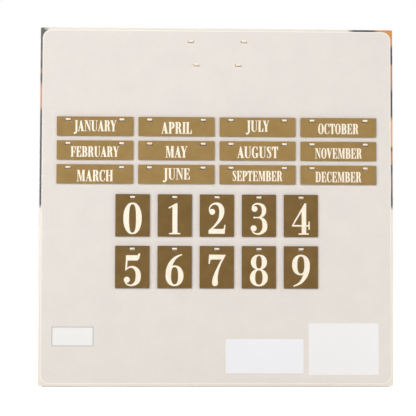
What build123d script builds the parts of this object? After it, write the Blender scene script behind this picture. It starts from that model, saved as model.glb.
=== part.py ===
from build123d import *

import os

# Perpetual desk calendar: an upright board that carries twelve month cards and ten number cards.
#
# The board is a shallow case: a face board and four frame boards, wrapped in printed paper, with a
# beige sheet laid over the face. Flat T-headed hooks come through slits in the face, and each card
# hangs on them by slots near its upper edge. The uppermost hooks are empty: the month and the two
# numbers of the day are moved there. A back board held by four turn buttons closes the case, and an
# easel wing on two butt hinges swings out behind it as a prop.
#
# Frame, in millimetres: +X right as seen from the front, +Y towards the back, +Z up. The origin is
# on the desk, in the middle of the case's base.

# ---------------------------------------------------------------- driving sizes

# The case as a whole
case_width = 203.0
case_height = 205.0
case_depth = 30.0

# Cards
month_card_width = 43.6
month_card_height = 11.0
number_card_height = 24.2
card_thickness = 0.8
card_corner_radius = 0.4

# Slots near each card's upper edge
slot_width = 3.4
slot_height = 1.15
slot_corner_radius = 0.25
slot_drop = 1.6  # from the card's upper edge to the slot's upper edge
month_slot_spacing = 30.6

# The grid that the cards hang in. It is centred on the case and measured down from its top.
month_columns = 4
month_rows = 3
number_columns = 5
number_rows = 2
month_gap_x = 2.9
month_gap_z = 2.7
number_gap_x = 4.5
number_gap_z = 5.25
display_drop = 6.0  # from the case's top to the month on display
display_gap = 2.6  # between that month and the numbers under it
display_to_months = 7.8
months_to_numbers = 5.9

# Hooks of bent sheet
hook_sheet = 0.6
hook_width = 2.8
hook_lip_height = 0.5
hook_bend_radius = 0.4
hook_tip_radius = 0.2
hook_head_width = 4.8
hook_head_height = 3.0
hook_clearance = 0.05  # between the hook and the slot that hangs on it
card_stand_off = 0.9  # between the face sheet and the hanging card
lip_gap = 0.5  # between the hanging card and the hook's lip
slit_clearance = 0.2

# Boards and sheets of the case
wrap_thickness = 0.3
wrap_turn_in = 4.0  # how far the paper is turned in over the rear edges
face_board_thickness = 4.0
frame_board_thickness = 6.0
backing_sheet_thickness = 1.5
corner_block_leg = 16.0
back_board_thickness = 3.0
back_board_recess = 0.1
fit_clearance = 0.3
face_sheet_thickness = 0.6
face_sheet_margin = 1.3
face_sheet_corner_radius = 5.0
felt_thickness = 1.0
felt_inset = 2.0

# Blank paper labels on the face: distance from the case's left side and base, width and height
label_thickness = 0.2
label_left = (7.9, 22.6, 23.6, 10.9)
label_centre = (106.9, 7.4, 44.2, 19.2)
label_right = (154.1, 6.3, 40.3, 29.6)

# Turn buttons on the rear edges of the side boards
button_thickness = 1.2
button_width = 6.0
button_reach = 12.0  # from the screw to the far end's centre
button_corner_distance = 40.0  # from the case's top and base
button_gap = 0.1
screw_shank_radius = 1.25
screw_head_radius = 2.5
screw_head_height = 1.3
screw_length = 9.0
running_clearance = 0.08

# Easel wing behind the case
wing_thickness = 3.0
wing_top = 150.0
wing_heel = 14.0  # height of the wing's inner lower corner
wing_reach = 62.0  # from the hinge axis to the toe
wing_head_width = 12.0
wing_toe_height = 9.0
wing_foot_length = 22.0
wing_waist = 9.0  # how far the outer edge bows in
wing_folded_gap = 0.4  # between the folded wing and the case
wing_stop_height = 20.0
wing_stop_width = 6.0
wing_stop_overlap = 6.0  # how much of the wing leans on the stop
wing_stop_gap = 0.05

# Butt hinges of the wing
hinge_height = 24.0
hinge_leaf_width = 13.0
hinge_leaf_thickness = 0.8
knuckle_radius = 2.0
knuckle_count = 3
knuckle_gap = 0.15
knuckle_relief = 0.3  # between a knuckle and the leaf beside it
hinge_pin_radius = 1.0
hinge_pin_clearance = 0.06
hinge_pin_head_radius = 1.7
hinge_pin_head_height = 0.6
hinge_end_distance = 9.0  # from the wing's ends to the hinges
rivet_shank_radius = 1.2
rivet_head_radius = 2.1
rivet_head_height = 0.7
rivet_edge_distance = 4.0  # from the leaf's free edge to the rivets
rivet_end_distance = 4.5  # from the leaf's ends to the rivets
rivet_clearance = 0.05

month_names = [
    "january", "february", "march", "april", "may", "june",
    "july", "august", "september", "october", "november", "december",
]  # fmt: skip

# ---------------------------------------------------------------- sizes worked out from them

# Two number cards side by side are as wide as one month card.
number_card_width = (month_card_width - number_gap_x) / 2
month_pitch_x = month_card_width + month_gap_x
month_pitch_z = month_card_height + month_gap_z
number_pitch_x = number_card_width + number_gap_x
number_pitch_z = number_card_height + number_gap_z
months_height = month_rows * month_pitch_z - month_gap_z

# Heights, from the desk up
case_base = felt_thickness
case_top = case_base + case_height
display_month_top = case_top - display_drop
display_number_top = display_month_top - month_card_height - display_gap
months_top = display_number_top - number_card_height - display_to_months
numbers_top = months_top - months_height - months_to_numbers

# Depths, from the front to the back
wrap_front = -case_depth / 2
wrap_rear = case_depth / 2
board_front = wrap_front + wrap_thickness
board_rear = board_front + face_board_thickness
frame_rear = wrap_rear - wrap_thickness
backing_rear = board_rear + backing_sheet_thickness
back_board_rear = wrap_rear - back_board_recess
back_board_front = back_board_rear - back_board_thickness
face_front = wrap_front - face_sheet_thickness
card_rear = face_front - card_stand_off
card_front = card_rear - card_thickness
lip_rear = card_front - lip_gap
lip_front = lip_rear - hook_sheet
head_rear = board_rear
head_front = head_rear - hook_sheet

# The space inside the frame boards
frame_half_width = case_width / 2 - wrap_thickness
inner_half_width = frame_half_width - frame_board_thickness
frame_base = case_base + wrap_thickness
frame_top = case_top - wrap_thickness
inner_base = frame_base + frame_board_thickness
inner_top = frame_top - frame_board_thickness
inner_middle = (inner_base + inner_top) / 2

# The wing's hinge axis stands upright behind the case. The moving leaf lies on the wing's outer
# side, level with the knuckles' far side, and the folded wing just clears the case.
wing_outer_side = -(knuckle_radius - hinge_leaf_thickness)
wing_inner_side = wing_outer_side + wing_thickness
hinge_axis = wrap_rear + wing_folded_gap + wing_inner_side
wing_root = hinge_axis + knuckle_radius + knuckle_relief
wing_toe = hinge_axis + wing_reach


# ---------------------------------------------------------------- helpers


def plate(outline, front, rear):
    """A flat piece: its outline is drawn in X and Z, and it runs from y = front to y = rear."""
    return extrude(Plane.XZ.offset(-rear) * outline, rear - front, dir=(0, -1, 0))


def block(x_range, y_range, z_range):
    """A box between two corners."""
    sizes = [high - low for low, high in (x_range, y_range, z_range)]
    middle = [(high + low) / 2 for low, high in (x_range, y_range, z_range)]
    return Pos(*middle) * Box(*sizes)


def disc(radius, x, z, front, rear):
    """A round piece along Y."""
    return plate(Pos(x, z) * Circle(radius), front, rear)


def domed(head, axis, last):
    """A round head with the rim of its outer face rounded off."""
    rim = head.faces().sort_by(axis)[-1 if last else 0].edges()
    return fillet(rim, 0.6 * rivet_head_height)


# ---------------------------------------------------------------- where the cards hang


def month_place(index):
    """The middle and the upper edge of a month card. The months run down the columns."""
    column, row = divmod(index, month_rows)
    x = (column - (month_columns - 1) / 2) * month_pitch_x
    return x, months_top - row * month_pitch_z


def number_place(index):
    """The middle and the upper edge of a number card. The numbers run along the rows."""
    row, column = divmod(index, number_columns)
    x = (column - (number_columns - 1) / 2) * number_pitch_x
    return x, numbers_top - row * number_pitch_z


month_slot_offsets = (-month_slot_spacing / 2, month_slot_spacing / 2)
number_slot_offsets = (0.0,)
display_number_offsets = (-number_pitch_x / 2, number_pitch_x / 2)


def hook_seat(card_top):
    """Height of the hook's upper side under the slot of a card whose upper edge is at card_top."""
    return card_top - slot_drop - hook_clearance


def month_row_seats(row):
    """Where the hooks of one row of month cards are: a middle and a height for each."""
    places = [month_place(column * month_rows + row) for column in range(month_columns)]
    return [(x + offset, hook_seat(top)) for x, top in places for offset in month_slot_offsets]


def number_row_seats(row):
    """Where the hooks of one row of number cards are."""
    places = [number_place(row * number_columns + column) for column in range(number_columns)]
    return [(x, hook_seat(top)) for x, top in places]


def display_seats():
    """Where the empty hooks are: two for the month, and one for each number under it."""
    month = [(offset, hook_seat(display_month_top)) for offset in month_slot_offsets]
    numbers = [(offset, hook_seat(display_number_top)) for offset in display_number_offsets]
    return month + numbers


hook_rows = {"hooks_display": display_seats()}
for row in range(month_rows):
    hook_rows[f"hooks_month_row_{row + 1}"] = month_row_seats(row)
for row in range(number_rows):
    hook_rows[f"hooks_number_row_{row + 1}"] = number_row_seats(row)
all_seats = [seat for seats in hook_rows.values() for seat in seats]


def cut_slits(outline):
    """The outline of a sheet with a slit for each hook, high enough to let its lip through."""
    low = hook_sheet + slit_clearance
    high = hook_lip_height + slit_clearance
    slit = Rectangle(hook_width + 2 * slit_clearance, low + high)
    return outline - [Pos(x, seat + (high - low) / 2) * slit for x, seat in all_seats]


# ---------------------------------------------------------------- cards


def card(width, height, slot_offsets, place):
    """A hanging card of coated sheet, with a slot at each offset from its middle."""
    x, top = place
    outline = Pos(x, top - height / 2) * RectangleRounded(width, height, card_corner_radius)
    slot = RectangleRounded(slot_width, slot_height, slot_corner_radius)
    slot_middle = top - slot_drop - slot_height / 2
    outline -= [Pos(x + offset, slot_middle) * slot for offset in slot_offsets]
    return plate(outline, card_front, card_rear)


def month_card(index):
    return card(month_card_width, month_card_height, month_slot_offsets, month_place(index))


def number_card(index):
    return card(number_card_width, number_card_height, number_slot_offsets, number_place(index))


# ---------------------------------------------------------------- hooks


def hook():
    """One hook at x = 0 whose seat is at z = 0: a T head, a flat tab and a lip turned up."""
    tab = Pos((lip_front + head_rear) / 2, -hook_sheet / 2) * Rectangle(
        head_rear - lip_front, hook_sheet
    )
    lip = Pos((lip_front + lip_rear) / 2, hook_lip_height / 2) * Rectangle(
        hook_sheet, hook_lip_height
    )
    side = tab + lip
    corners = side.vertices().group_by(Axis.X)[0].sort_by(Axis.Y)
    side = fillet(corners[0], hook_bend_radius)
    tips = side.vertices().group_by(Axis.Y)[-1]
    side = fillet(tips, hook_tip_radius)
    strip = extrude(Plane.YZ.offset(-hook_width / 2) * side, hook_width)
    head = Pos(0, (head_front + head_rear) / 2, -hook_sheet / 2) * Box(
        hook_head_width, hook_sheet, hook_head_height
    )
    return strip + head


def hook_group(seats):
    """The hooks of one row, each a separate solid."""
    one = hook()
    return Compound(children=[Pos(x, 0, seat) * one for x, seat in seats])


# ---------------------------------------------------------------- face


def face_sheet():
    """The beige sheet over the front, with rounded corners."""
    middle = (case_base + case_top) / 2
    outline = Pos(0, middle) * RectangleRounded(
        case_width - 2 * face_sheet_margin,
        case_height - 2 * face_sheet_margin,
        face_sheet_corner_radius,
    )
    return plate(cut_slits(outline), face_front, wrap_front)


def face_board():
    """The fibreboard that holds the hooks, with a pocket in its rear for each hook's head."""
    outline = Pos(0, (frame_base + frame_top) / 2) * Rectangle(
        2 * frame_half_width, frame_top - frame_base
    )
    pocket = Rectangle(hook_head_width + 2 * slit_clearance, hook_head_height + 2 * slit_clearance)
    pockets = [Pos(x, seat - hook_sheet / 2) * pocket for x, seat in all_seats]
    return plate(cut_slits(outline), board_front, board_rear) - plate(
        Sketch() + pockets, head_front, head_rear
    )


def backing_sheet():
    """The hardboard behind the face board that traps the hooks' heads."""
    outline = Pos(0, inner_middle) * Rectangle(
        2 * (inner_half_width - fit_clearance), inner_top - inner_base - 2 * fit_clearance
    )
    return plate(outline, board_rear, backing_rear)


def paper_label(place):
    """A blank label on the face sheet."""
    from_left, from_base, width, height = place
    centre = Pos(from_left + width / 2 - case_width / 2, case_base + from_base + height / 2)
    return plate(centre * Rectangle(width, height), face_front - label_thickness, face_front)


# ---------------------------------------------------------------- case


def button_places():
    """The turn buttons' screws: side (-1 left, 1 right), x and z."""
    x = frame_half_width - frame_board_thickness / 2
    heights = (case_base + button_corner_distance, case_top - button_corner_distance)
    return [(side, side * x, z) for z in heights for side in (-1, 1)]


def case_wrap():
    """The printed paper round the case, over its front and turned in over its rear edges."""
    half = case_width / 2
    outer = block((-half, half), (wrap_front, wrap_rear), (case_base, case_top))
    inner = block(
        (-frame_half_width, frame_half_width), (board_front, frame_rear), (frame_base, frame_top)
    )
    window = block(
        (-half + wrap_turn_in, half - wrap_turn_in),
        (frame_rear, wrap_rear),
        (case_base + wrap_turn_in, case_top - wrap_turn_in),
    )
    front = Pos(0, (case_base + case_top) / 2) * Rectangle(case_width, case_height)
    slits = plate(front - cut_slits(front), wrap_front, board_front)
    screws = [
        disc(screw_shank_radius + running_clearance, x, z, frame_rear, wrap_rear)
        for _, x, z in button_places()
    ]
    return outer - inner - window - slits - screws


def level_board(low, high):
    """The top or the bottom board, over the full width."""
    return block((-frame_half_width, frame_half_width), (board_rear, frame_rear), (low, high))


def side_board(side):
    """The left (-1) or the right (1) board, with pilot holes for the turn buttons' screws."""
    inner, outer = sorted((side * inner_half_width, side * frame_half_width))
    board = block((inner, outer), (board_rear, frame_rear), (inner_base, inner_top))
    tip = wrap_rear + button_gap + button_thickness - screw_length
    holes = [
        disc(screw_shank_radius, x, z, tip, frame_rear)
        for which, x, z in button_places()
        if which == side
    ]
    return board - holes


def corner_blocks():
    """Four glued blocks in the corners, which the back board rests on."""
    blocks = []
    for side in (-1, 1):
        for upright, corner in ((1, inner_base), (-1, inner_top)):
            x = side * inner_half_width
            triangle = Polygon(
                (x, corner),
                (x - side * corner_block_leg, corner),
                (x, corner + upright * corner_block_leg),
                align=None,
            )
            blocks.append(plate(triangle, backing_rear, back_board_front))
    return Compound(children=blocks)


def base_felt():
    """The felt that the case stands on."""
    half_width = case_width / 2 - felt_inset
    half_depth = case_depth / 2 - felt_inset
    return block((-half_width, half_width), (-half_depth, half_depth), (0, felt_thickness))


# ---------------------------------------------------------------- back board and turn buttons


def turn_button(side, x, z):
    """A flat button that turns on its screw and holds the back board in."""
    outline = Pos(x - side * button_reach / 2, z) * SlotCenterToCenter(button_reach, button_width)
    outline -= Pos(x, z) * Circle(screw_shank_radius + running_clearance)
    front = wrap_rear + button_gap
    return plate(outline, front, front + button_thickness)


def button_screws():
    """The turn buttons' screws, each a shank and a domed head with a cross recess."""
    head_front_y = wrap_rear + 2 * button_gap + button_thickness
    head_rear_y = head_front_y + screw_head_height
    tip = wrap_rear + button_gap + button_thickness - screw_length
    recess_width = 0.28 * screw_head_radius
    recess_length = 1.1 * screw_head_radius
    recess_depth = 0.6 * screw_head_height
    screws = []
    for _, x, z in button_places():
        head = domed(disc(screw_head_radius, x, z, head_front_y, head_rear_y), Axis.Y, True)
        cross = Rectangle(recess_width, recess_length) + Rectangle(recess_length, recess_width)
        recess = plate(Pos(x, z) * cross, head_rear_y - recess_depth, head_rear_y)
        screws.append(disc(screw_shank_radius, x, z, tip, head_front_y) + (head - recess))
    return Compound(children=screws)


def hinge_bases():
    """Heights of the lower ends of the two hinges."""
    return (wing_heel + hinge_end_distance, wing_top - hinge_end_distance - hinge_height)


def rivet_heights(base):
    """Heights of the two rivets of a hinge leaf."""
    return (base + rivet_end_distance, base + hinge_height - rivet_end_distance)


board_rivet_x = -(hinge_leaf_width - rivet_edge_distance)
wing_rivet_y = hinge_axis + hinge_leaf_width - rivet_edge_distance


def back_board():
    """The board that closes the case, with holes for the hinges' rivets."""
    outline = Pos(0, inner_middle) * Rectangle(
        2 * (inner_half_width - fit_clearance), inner_top - inner_base - 2 * fit_clearance
    )
    hole = Circle(rivet_shank_radius + rivet_clearance)
    for base in hinge_bases():
        outline -= [Pos(board_rivet_x, z) * hole for z in rivet_heights(base)]
    return plate(outline, back_board_front, back_board_rear)


# ---------------------------------------------------------------- easel wing and its hinges


def along_x(radius, y, z, low, high):
    """A round piece along X."""
    return extrude(Plane.YZ.offset(low) * Pos(y, z) * Circle(radius), high - low)


def easel_wing():
    """The prop: a board that stands out behind the case, bowed in along its outer edge."""
    head = wing_root + wing_head_width
    toe_top = felt_thickness + wing_toe_height
    waist = ((head + wing_toe) / 2 - wing_waist, (wing_top + toe_top) / 2)
    edge = Polyline(
        (wing_toe, toe_top),
        (wing_toe, felt_thickness),
        (wing_toe - wing_foot_length, felt_thickness),
        (wing_root, wing_heel),
        (wing_root, wing_top),
        (head, wing_top),
    ) + ThreePointArc((head, wing_top), waist, (wing_toe, toe_top))
    wing = extrude(Plane.YZ.offset(wing_outer_side) * make_face(edge), wing_thickness)
    for base in hinge_bases():
        for z in rivet_heights(base):
            radius = rivet_shank_radius + rivet_clearance
            wing -= along_x(radius, wing_rivet_y, z, wing_outer_side, wing_inner_side)
    return wing


def wing_felt():
    """The felt under the wing's foot."""
    return block(
        (wing_outer_side, wing_inner_side), (wing_toe - wing_foot_length, wing_toe), (0, felt_thickness)
    )


def wing_stop():
    """The block on the back board that the opened wing leans against, between the hinges."""
    middle = (wing_heel + wing_top) / 2
    face = wing_outer_side - wing_stop_gap
    return block(
        (face - wing_stop_width, face),
        (back_board_rear, wing_root + wing_stop_overlap),
        (middle - wing_stop_height / 2, middle + wing_stop_height / 2),
    )


def knuckle_spans(base, moving):
    """The heights that one leaf's knuckles fill: the fixed leaf has the even ones."""
    pitch = hinge_height / knuckle_count
    return [
        (base + k * pitch + knuckle_gap / 2, base + (k + 1) * pitch - knuckle_gap / 2)
        for k in range(knuckle_count)
        if k % 2 == moving
    ]


def knuckle(low, high):
    return Pos(0, hinge_axis, (low + high) / 2) * Cylinder(knuckle_radius, high - low)


def pin_bore(base):
    """What is cut out of both leaves for the pin."""
    radius = hinge_pin_radius + hinge_pin_clearance
    return Pos(0, hinge_axis, base + hinge_height / 2) * Cylinder(radius, 2 * hinge_height)


def fixed_leaf(base):
    """The leaf riveted flat on the back board."""
    leaf_rear = back_board_rear + hinge_leaf_thickness
    free_edge = -(knuckle_radius + knuckle_relief)
    top = base + hinge_height
    leaf = block((-hinge_leaf_width, free_edge), (back_board_rear, leaf_rear), (base, top))
    for low, high in knuckle_spans(base, False):
        leaf += block((free_edge, 0), (back_board_rear, leaf_rear), (low, high))
        leaf += knuckle(low, high)
    holes = [
        disc(rivet_shank_radius + rivet_clearance, board_rivet_x, z, back_board_rear, leaf_rear)
        for z in rivet_heights(base)
    ]
    return leaf - pin_bore(base) - holes


def moving_leaf(base):
    """The leaf riveted on the wing's outer side."""
    face = -knuckle_radius
    leaf = block(
        (face, wing_outer_side), (wing_root, hinge_axis + hinge_leaf_width), (base, base + hinge_height)
    )
    for low, high in knuckle_spans(base, True):
        leaf += block((face, wing_outer_side), (hinge_axis, wing_root), (low, high))
        leaf += knuckle(low, high)
    holes = [
        along_x(rivet_shank_radius + rivet_clearance, wing_rivet_y, z, face, wing_outer_side)
        for z in rivet_heights(base)
    ]
    return leaf - pin_bore(base) - holes


def hinge_pin(base):
    """The pin, which hangs in the knuckles by its head."""
    top = base + hinge_height - knuckle_gap / 2
    shank = Pos(0, hinge_axis, (base + top) / 2) * Cylinder(hinge_pin_radius, top - base)
    head_middle = top + hinge_pin_head_height / 2
    return shank + Pos(0, hinge_axis, head_middle) * Cylinder(
        hinge_pin_head_radius, hinge_pin_head_height
    )


def board_rivets():
    """The rivets through the fixed leaves and the back board, with a head at both ends."""
    leaf_rear = back_board_rear + hinge_leaf_thickness
    rivets = []
    for base in hinge_bases():
        for z in rivet_heights(base):
            place = (board_rivet_x, z)
            outer = disc(rivet_head_radius, *place, leaf_rear, leaf_rear + rivet_head_height)
            inner = disc(
                rivet_head_radius, *place, back_board_front - rivet_head_height, back_board_front
            )
            shank = disc(rivet_shank_radius, *place, back_board_front, leaf_rear)
            rivets.append(shank + domed(outer, Axis.Y, True) + domed(inner, Axis.Y, False))
    return Compound(children=rivets)


def wing_rivets():
    """The rivets through the moving leaves and the wing, flush with the wing's inner side."""
    face = -knuckle_radius
    rivets = []
    for base in hinge_bases():
        for z in rivet_heights(base):
            head = along_x(rivet_head_radius, wing_rivet_y, z, face - rivet_head_height, face)
            shank = along_x(rivet_shank_radius, wing_rivet_y, z, face, wing_inner_side)
            rivets.append(shank + domed(head, Axis.X, False))
    return Compound(children=rivets)


# ---------------------------------------------------------------- the assembly

pieces = {
    "case_wrap": case_wrap(),
    "case_top_board": level_board(inner_top, frame_top),
    "case_bottom_board": level_board(frame_base, inner_base),
    "case_left_board": side_board(-1),
    "case_right_board": side_board(1),
    "corner_blocks": corner_blocks(),
    "face_board": face_board(),
    "face_sheet": face_sheet(),
    "backing_sheet": backing_sheet(),
    "base_felt": base_felt(),
    "label_left": paper_label(label_left),
    "label_centre": paper_label(label_centre),
    "label_right": paper_label(label_right),
    "back_board": back_board(),
    "wing_stop": wing_stop(),
    "hinge_rivets_board": board_rivets(),
    "turn_button_screws": button_screws(),
    "easel_wing": easel_wing(),
    "hinge_rivets_wing": wing_rivets(),
    "wing_felt": wing_felt(),
}
for name, seats in hook_rows.items():
    pieces[name] = hook_group(seats)
for number, (side, x, z) in enumerate(button_places(), start=1):
    pieces[f"turn_button_{number}"] = turn_button(side, x, z)
for level, base in zip(("lower", "upper"), hinge_bases()):
    pieces[f"hinge_{level}_fixed_leaf"] = fixed_leaf(base)
    pieces[f"hinge_{level}_moving_leaf"] = moving_leaf(base)
    pieces[f"hinge_{level}_pin"] = hinge_pin(base)
for index, name in enumerate(month_names):
    pieces[f"month_card_{name}"] = month_card(index)
for index in range(number_columns * number_rows):
    pieces[f"number_card_{index}"] = number_card(index)

os.makedirs("parts", exist_ok=True)
for name, shape in pieces.items():
    export_step(shape, f"parts/{name}.step")
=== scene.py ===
import math

import bpy
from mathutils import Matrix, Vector
from mathutils.geometry import delaunay_2d_cdt


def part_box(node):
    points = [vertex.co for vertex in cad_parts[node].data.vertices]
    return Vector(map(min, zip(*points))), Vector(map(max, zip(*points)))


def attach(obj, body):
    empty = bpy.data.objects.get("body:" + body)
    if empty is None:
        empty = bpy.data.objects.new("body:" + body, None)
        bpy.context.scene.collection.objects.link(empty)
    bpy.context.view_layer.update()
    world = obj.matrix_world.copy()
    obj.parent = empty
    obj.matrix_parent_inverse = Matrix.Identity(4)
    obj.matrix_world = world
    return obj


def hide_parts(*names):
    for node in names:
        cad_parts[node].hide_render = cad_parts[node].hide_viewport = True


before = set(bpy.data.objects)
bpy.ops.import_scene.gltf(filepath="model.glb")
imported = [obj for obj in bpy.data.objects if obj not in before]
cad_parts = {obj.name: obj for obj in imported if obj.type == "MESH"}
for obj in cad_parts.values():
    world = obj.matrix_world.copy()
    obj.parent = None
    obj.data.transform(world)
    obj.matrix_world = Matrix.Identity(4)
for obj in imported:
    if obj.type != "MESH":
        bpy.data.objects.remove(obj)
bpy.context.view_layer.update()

# ---------------------------------------------------------------- pine boards, blocks and stop
# Four strips of planed pine are glued into the case's frame. Glued triangular blocks stiffen its
# corners and carry the back board, and a small block on that board stops the easel wing.

MM = 0.001
RING_WIDTH = 2.2 * MM
RING_LENGTH = 70 * MM
PORE_WIDTH = 0.35 * MM
PORE_LENGTH = 6 * MM
PORE_DEPTH = 0.08 * MM
LEVEL_PINE = ("case_top_board", "case_bottom_board")
UPRIGHT_PINE = ("case_left_board", "case_right_board", "corner_blocks", "wing_stop")


def linear(code):
    """An sRGB colour such as "#DCC094" as the linear values that a shader takes."""
    parts = [int(code[i : i + 2], 16) / 255 for i in (1, 3, 5)]
    return (*[p / 12.92 if p <= 0.04045 else ((p + 0.055) / 1.055) ** 2.4 for p in parts], 1.0)


def set_inputs(node, inputs):
    """Sets a node's inputs to values or colours, or links them to sockets, nodes or listed nodes."""
    for key, value in inputs.items():
        for source in value if isinstance(value, list) else [value]:
            if isinstance(source, bpy.types.Node):
                source = next(output for output in source.outputs if output.enabled)
            if isinstance(source, bpy.types.NodeSocket):
                node.id_data.links.new(source, node.inputs[key])
            elif isinstance(source, str):
                node.inputs[key].default_value = linear(source)
            else:
                node.inputs[key].default_value = source


def add_node(tree, kind, inputs, **settings):
    """Adds a node with its settings and its inputs."""
    node = tree.nodes.new(kind)
    for name, value in settings.items():
        setattr(node, name, value)
    set_inputs(node, inputs)
    return node


def new_finish(name):
    """A new material, its node tree, its surface and the piece's own coordinates in metres."""
    material = bpy.data.materials.new(name)
    material.use_nodes = True
    tree = material.node_tree
    place = add_node(tree, "ShaderNodeTexCoord", {}).outputs["Object"]
    return material, tree, tree.nodes["Principled BSDF"], place


def give(material, *nodes):
    """Gives carried-over pieces their finish."""
    for node in nodes:
        for material_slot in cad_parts[node].material_slots:
            material_slot.material = material


# Planed pine: pale sapwood with darker late-wood lines along each strip and short fine pores. The
# plane leaves it matt but smooth.
for name, along, nodes in (
    ("planed_pine_level", 0, LEVEL_PINE),
    ("planed_pine_upright", 2, UPRIGHT_PINE),
):
    pine, tree, surface, place = new_finish(name)
    patterns = []
    for width, length in ((RING_WIDTH, RING_LENGTH), (PORE_WIDTH, PORE_LENGTH)):
        scale = [1 / width] * 3
        scale[along] = 1 / length
        stretched = add_node(tree, "ShaderNodeMapping", {"Vector": place, "Scale": tuple(scale)})
        patterns.append(
            add_node(
                tree,
                "ShaderNodeTexNoise",
                {"Vector": stretched, "Scale": 1.0, "Detail": 3.0, "Distortion": 0.3},
            )
        )
    rings, pores = patterns
    late_wood = add_node(
        tree, "ShaderNodeMapRange", {"Value": rings, "From Min": 0.42, "From Max": 0.66}
    )
    wood = add_node(
        tree,
        "ShaderNodeMix",
        {"Factor": late_wood, "A": "#E0C69C", "B": "#BE9460"},
        data_type="RGBA",
    )
    open_pores = add_node(
        tree,
        "ShaderNodeMapRange",
        {"Value": pores, "From Min": 0.6, "From Max": 0.75, "To Max": 0.6},
    )
    wood = add_node(
        tree, "ShaderNodeMix", {"Factor": open_pores, "A": wood, "B": "#9A7142"}, data_type="RGBA"
    )
    relief = add_node(
        tree, "ShaderNodeBump", {"Height": pores, "Strength": 0.3, "Distance": PORE_DEPTH}
    )
    set_inputs(surface, {"Base Color": wood, "Roughness": 0.62, "Normal": relief})
    give(pine, *nodes)

# ---------------------------------------------------------------- printed wrap
# Coated paper is glued round the frame and turned in over its rear edges. It is printed with a soft
# blurred pattern, charcoal with amber and mauve patches above and plain cream below and on top.

FOLD_WIDTH = 0.5 * MM
FOLD_SHADE = 0.55
MITRE_EDGE = 0.1 * MM
REAR_SKIN = 0.1 * MM  # what lies this near the rear is turned-in paper
SCUFF_WIDTH = 0.7 * MM
SCUFF_START = 1.95  # counts 1 for each face at hand, and adds the rubbing
SCUFF_FULL = 2.25
RUBBING_SHARE = 0.62
DARK_PRINT_BASE = 102.8 * MM
DARK_PRINT_TOP = 204.6 * MM
PRINT_BASE_FADE = 1.2 * MM
PRINT_TOP_FADE = 0.2 * MM
PALE_TOP_LEFT = -96 * MM
PALE_TOP_RIGHT = 75 * MM
PALE_TOP_FADE = 4 * MM
SPOT_EDGE = 4 * MM
SPOT_WANDER = 16 * MM  # how soon a spot's outline changes its course
SPOT_REACH = 1.5  # a spot's radii, of which its wandering outline takes back half of one
TONE_DRIFT = 40 * MM
RUBBED_PATCH = 2.5 * MM
PULP = 0.8 * MM  # real paper fibres are finer, and wouldn't show
WRAP_TOOTH = 0.05 * MM
wrap_low, wrap_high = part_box("case_wrap")


def depth_inside(tree, place, low, high):
    """How deep a point lies in a box, as a vector of its distances to the nearest faces."""
    centred = add_node(
        tree, "ShaderNodeVectorMath", {0: place, 1: (low + high) / 2}, operation="SUBTRACT"
    )
    mirrored = add_node(tree, "ShaderNodeVectorMath", {0: centred}, operation="ABSOLUTE")
    return add_node(
        tree, "ShaderNodeVectorMath", {0: (high - low) / 2, 1: mirrored}, operation="SUBTRACT"
    )


# Coated printed paper: a half-gloss sheet whose ink gives soft-edged colour. Where faces meet, the
# scuffed coating shows the white paper under it, and at each rear corner a mitred fold is drawn as
# a thin line of painted shade.
wrap_paper, tree, surface, place = new_finish("coated_printed_paper")
colour = None
for size, shift, low, high, first, second in (
    (34 * MM, 0.0, 0.38, 0.66, "#151315", "#2A2525"),
    (30 * MM, 6.4, 0.58, 0.64, None, "#1F2839"),
    (36 * MM, 7.7, 0.63, 0.7, None, "#86655F"),
    (26 * MM, 3.1, 0.63, 0.68, None, "#B97A40"),
):
    moved = add_node(
        tree, "ShaderNodeVectorMath", {0: place, 1: (shift, shift, shift)}, operation="ADD"
    )
    blots = add_node(
        tree, "ShaderNodeTexNoise", {"Vector": moved, "Scale": 1 / size, "Detail": 1.5}
    )
    patch = add_node(
        tree,
        "ShaderNodeMapRange",
        {"Value": blots, "From Min": low, "From Max": high},
        interpolation_type="SMOOTHSTEP",
    )
    colour = add_node(
        tree,
        "ShaderNodeMix",
        {"Factor": patch, "A": first or colour, "B": second},
        data_type="RGBA",
    )
wander = add_node(
    tree, "ShaderNodeTexNoise", {"Vector": place, "Scale": 1 / SPOT_WANDER, "Detail": 0.0}
)
for x, y, z, radius, tone in (
    (102 * MM, -15 * MM, 207 * MM, 8 * MM, "#D58C2E"),
    (102 * MM, -13 * MM, 176 * MM, 3 * MM, "#B5735A"),
    (102 * MM, -10 * MM, 146 * MM, 7 * MM, "#E3A94F"),
    (102 * MM, 7 * MM, 186 * MM, 11 * MM, "#C98238"),
    (-102 * MM, -12 * MM, 166 * MM, 6 * MM, "#B98F72"),
    (-102 * MM, 4 * MM, 140 * MM, 14 * MM, "#D0893C"),
):
    away = add_node(tree, "ShaderNodeVectorMath", {0: place, 1: (x, y, z)}, operation="DISTANCE")
    uneven = add_node(
        tree, "ShaderNodeMath", {0: wander, 1: radius, 2: away}, operation="MULTIPLY_ADD"
    )
    reach = SPOT_REACH * radius
    patch = add_node(
        tree,
        "ShaderNodeMapRange",
        {"Value": uneven, "From Min": reach + SPOT_EDGE, "From Max": reach},
        interpolation_type="SMOOTHSTEP",
    )
    colour = add_node(
        tree, "ShaderNodeMix", {"Factor": patch, "A": colour, "B": tone}, data_type="RGBA"
    )
spot = add_node(tree, "ShaderNodeSeparateXYZ", {"Vector": place}).outputs
drift = add_node(
    tree, "ShaderNodeTexNoise", {"Vector": place, "Scale": 1 / TONE_DRIFT, "Detail": 2.0}
)
cream = add_node(
    tree, "ShaderNodeMix", {"Factor": drift, "A": "#F4ECE1", "B": "#EADFCF"}, data_type="RGBA"
)
inside = depth_inside(tree, place, wrap_low, wrap_high)
depths = add_node(tree, "ShaderNodeSeparateXYZ", {"Vector": inside}).outputs
across_fold = add_node(tree, "ShaderNodeMath", {0: depths["X"], 1: depths["Z"]}, operation="SUBTRACT")
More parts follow.
